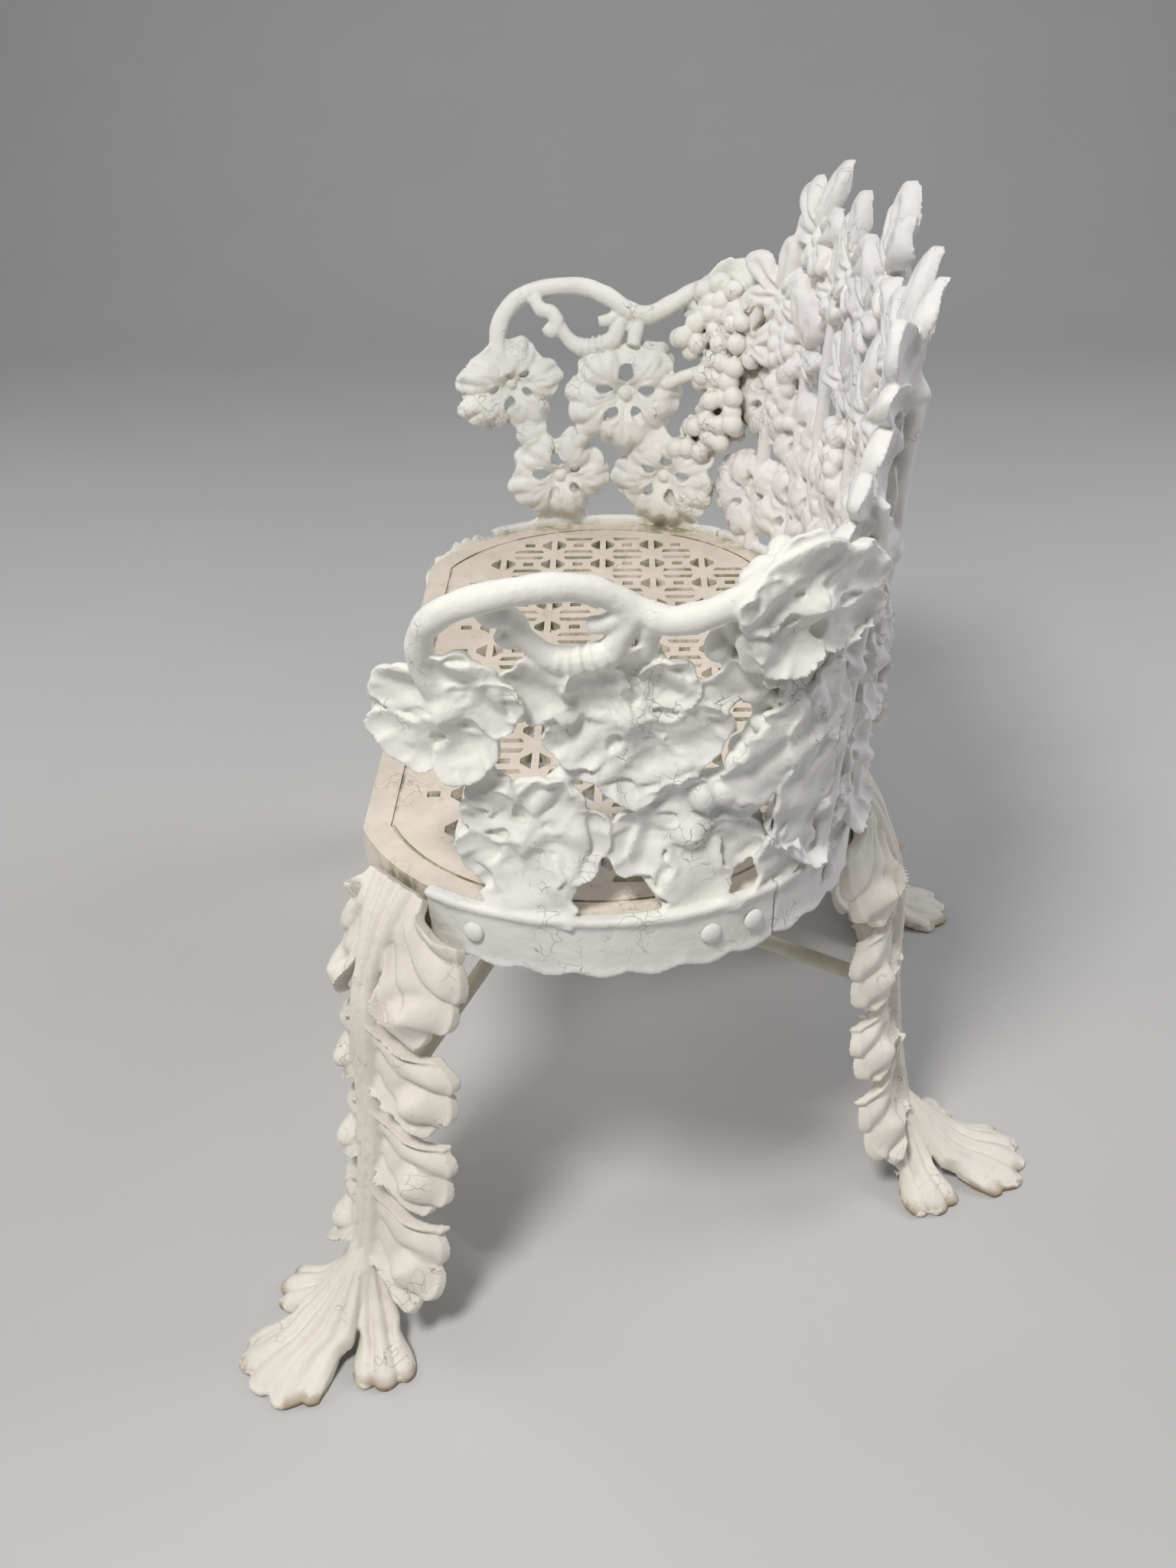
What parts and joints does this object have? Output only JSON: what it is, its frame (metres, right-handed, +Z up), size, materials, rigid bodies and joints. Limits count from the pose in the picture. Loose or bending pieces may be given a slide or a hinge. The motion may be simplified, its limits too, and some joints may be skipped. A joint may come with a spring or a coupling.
{
  "type": "garden bench",
  "caption": "Cast iron garden bench for two with a pierced oblong seat, vine leaf openwork arms and back, leaf-shaped legs and tie rods.",
  "frame": {"origin": "centre of the footprint box on the floor", "axes": "+X along the bench towards the sitter's left, +Y towards the back, +Z up"},
  "size_m": [0.9278, 0.6658, 0.828],
  "materials": {
    "painted_iron": "aged white paint, cracked and chalky",
    "painted_rod": "aged white paint with algae",
    "painted_fastener": "aged white paint over steel"
  },
  "bodies": {
    "root": {"seat_plate": "painted_iron", "arm_left": "painted_iron", "arm_right": "painted_iron", "back_panel": "painted_iron", "leg_front_left": "painted_iron", "leg_front_right": "painted_iron", "leg_rear_left": "painted_iron", "leg_rear_right": "painted_iron", "tie_rod_hub": "painted_iron", "tie_rod_front_left": "painted_rod", "tie_rod_front_right": "painted_rod", "tie_rod_rear_left": "painted_rod", "tie_rod_rear_right": "painted_rod", "arm_bolts": "painted_fastener", "arm_nuts": "painted_fastener", "back_bolts": "painted_fastener", "back_nuts": "painted_fastener", "rail_bolts": "painted_fastener", "rail_nuts": "painted_fastener", "leg_bolts": "painted_fastener", "leg_washers": "painted_fastener"}
  },
  "joints": []
}
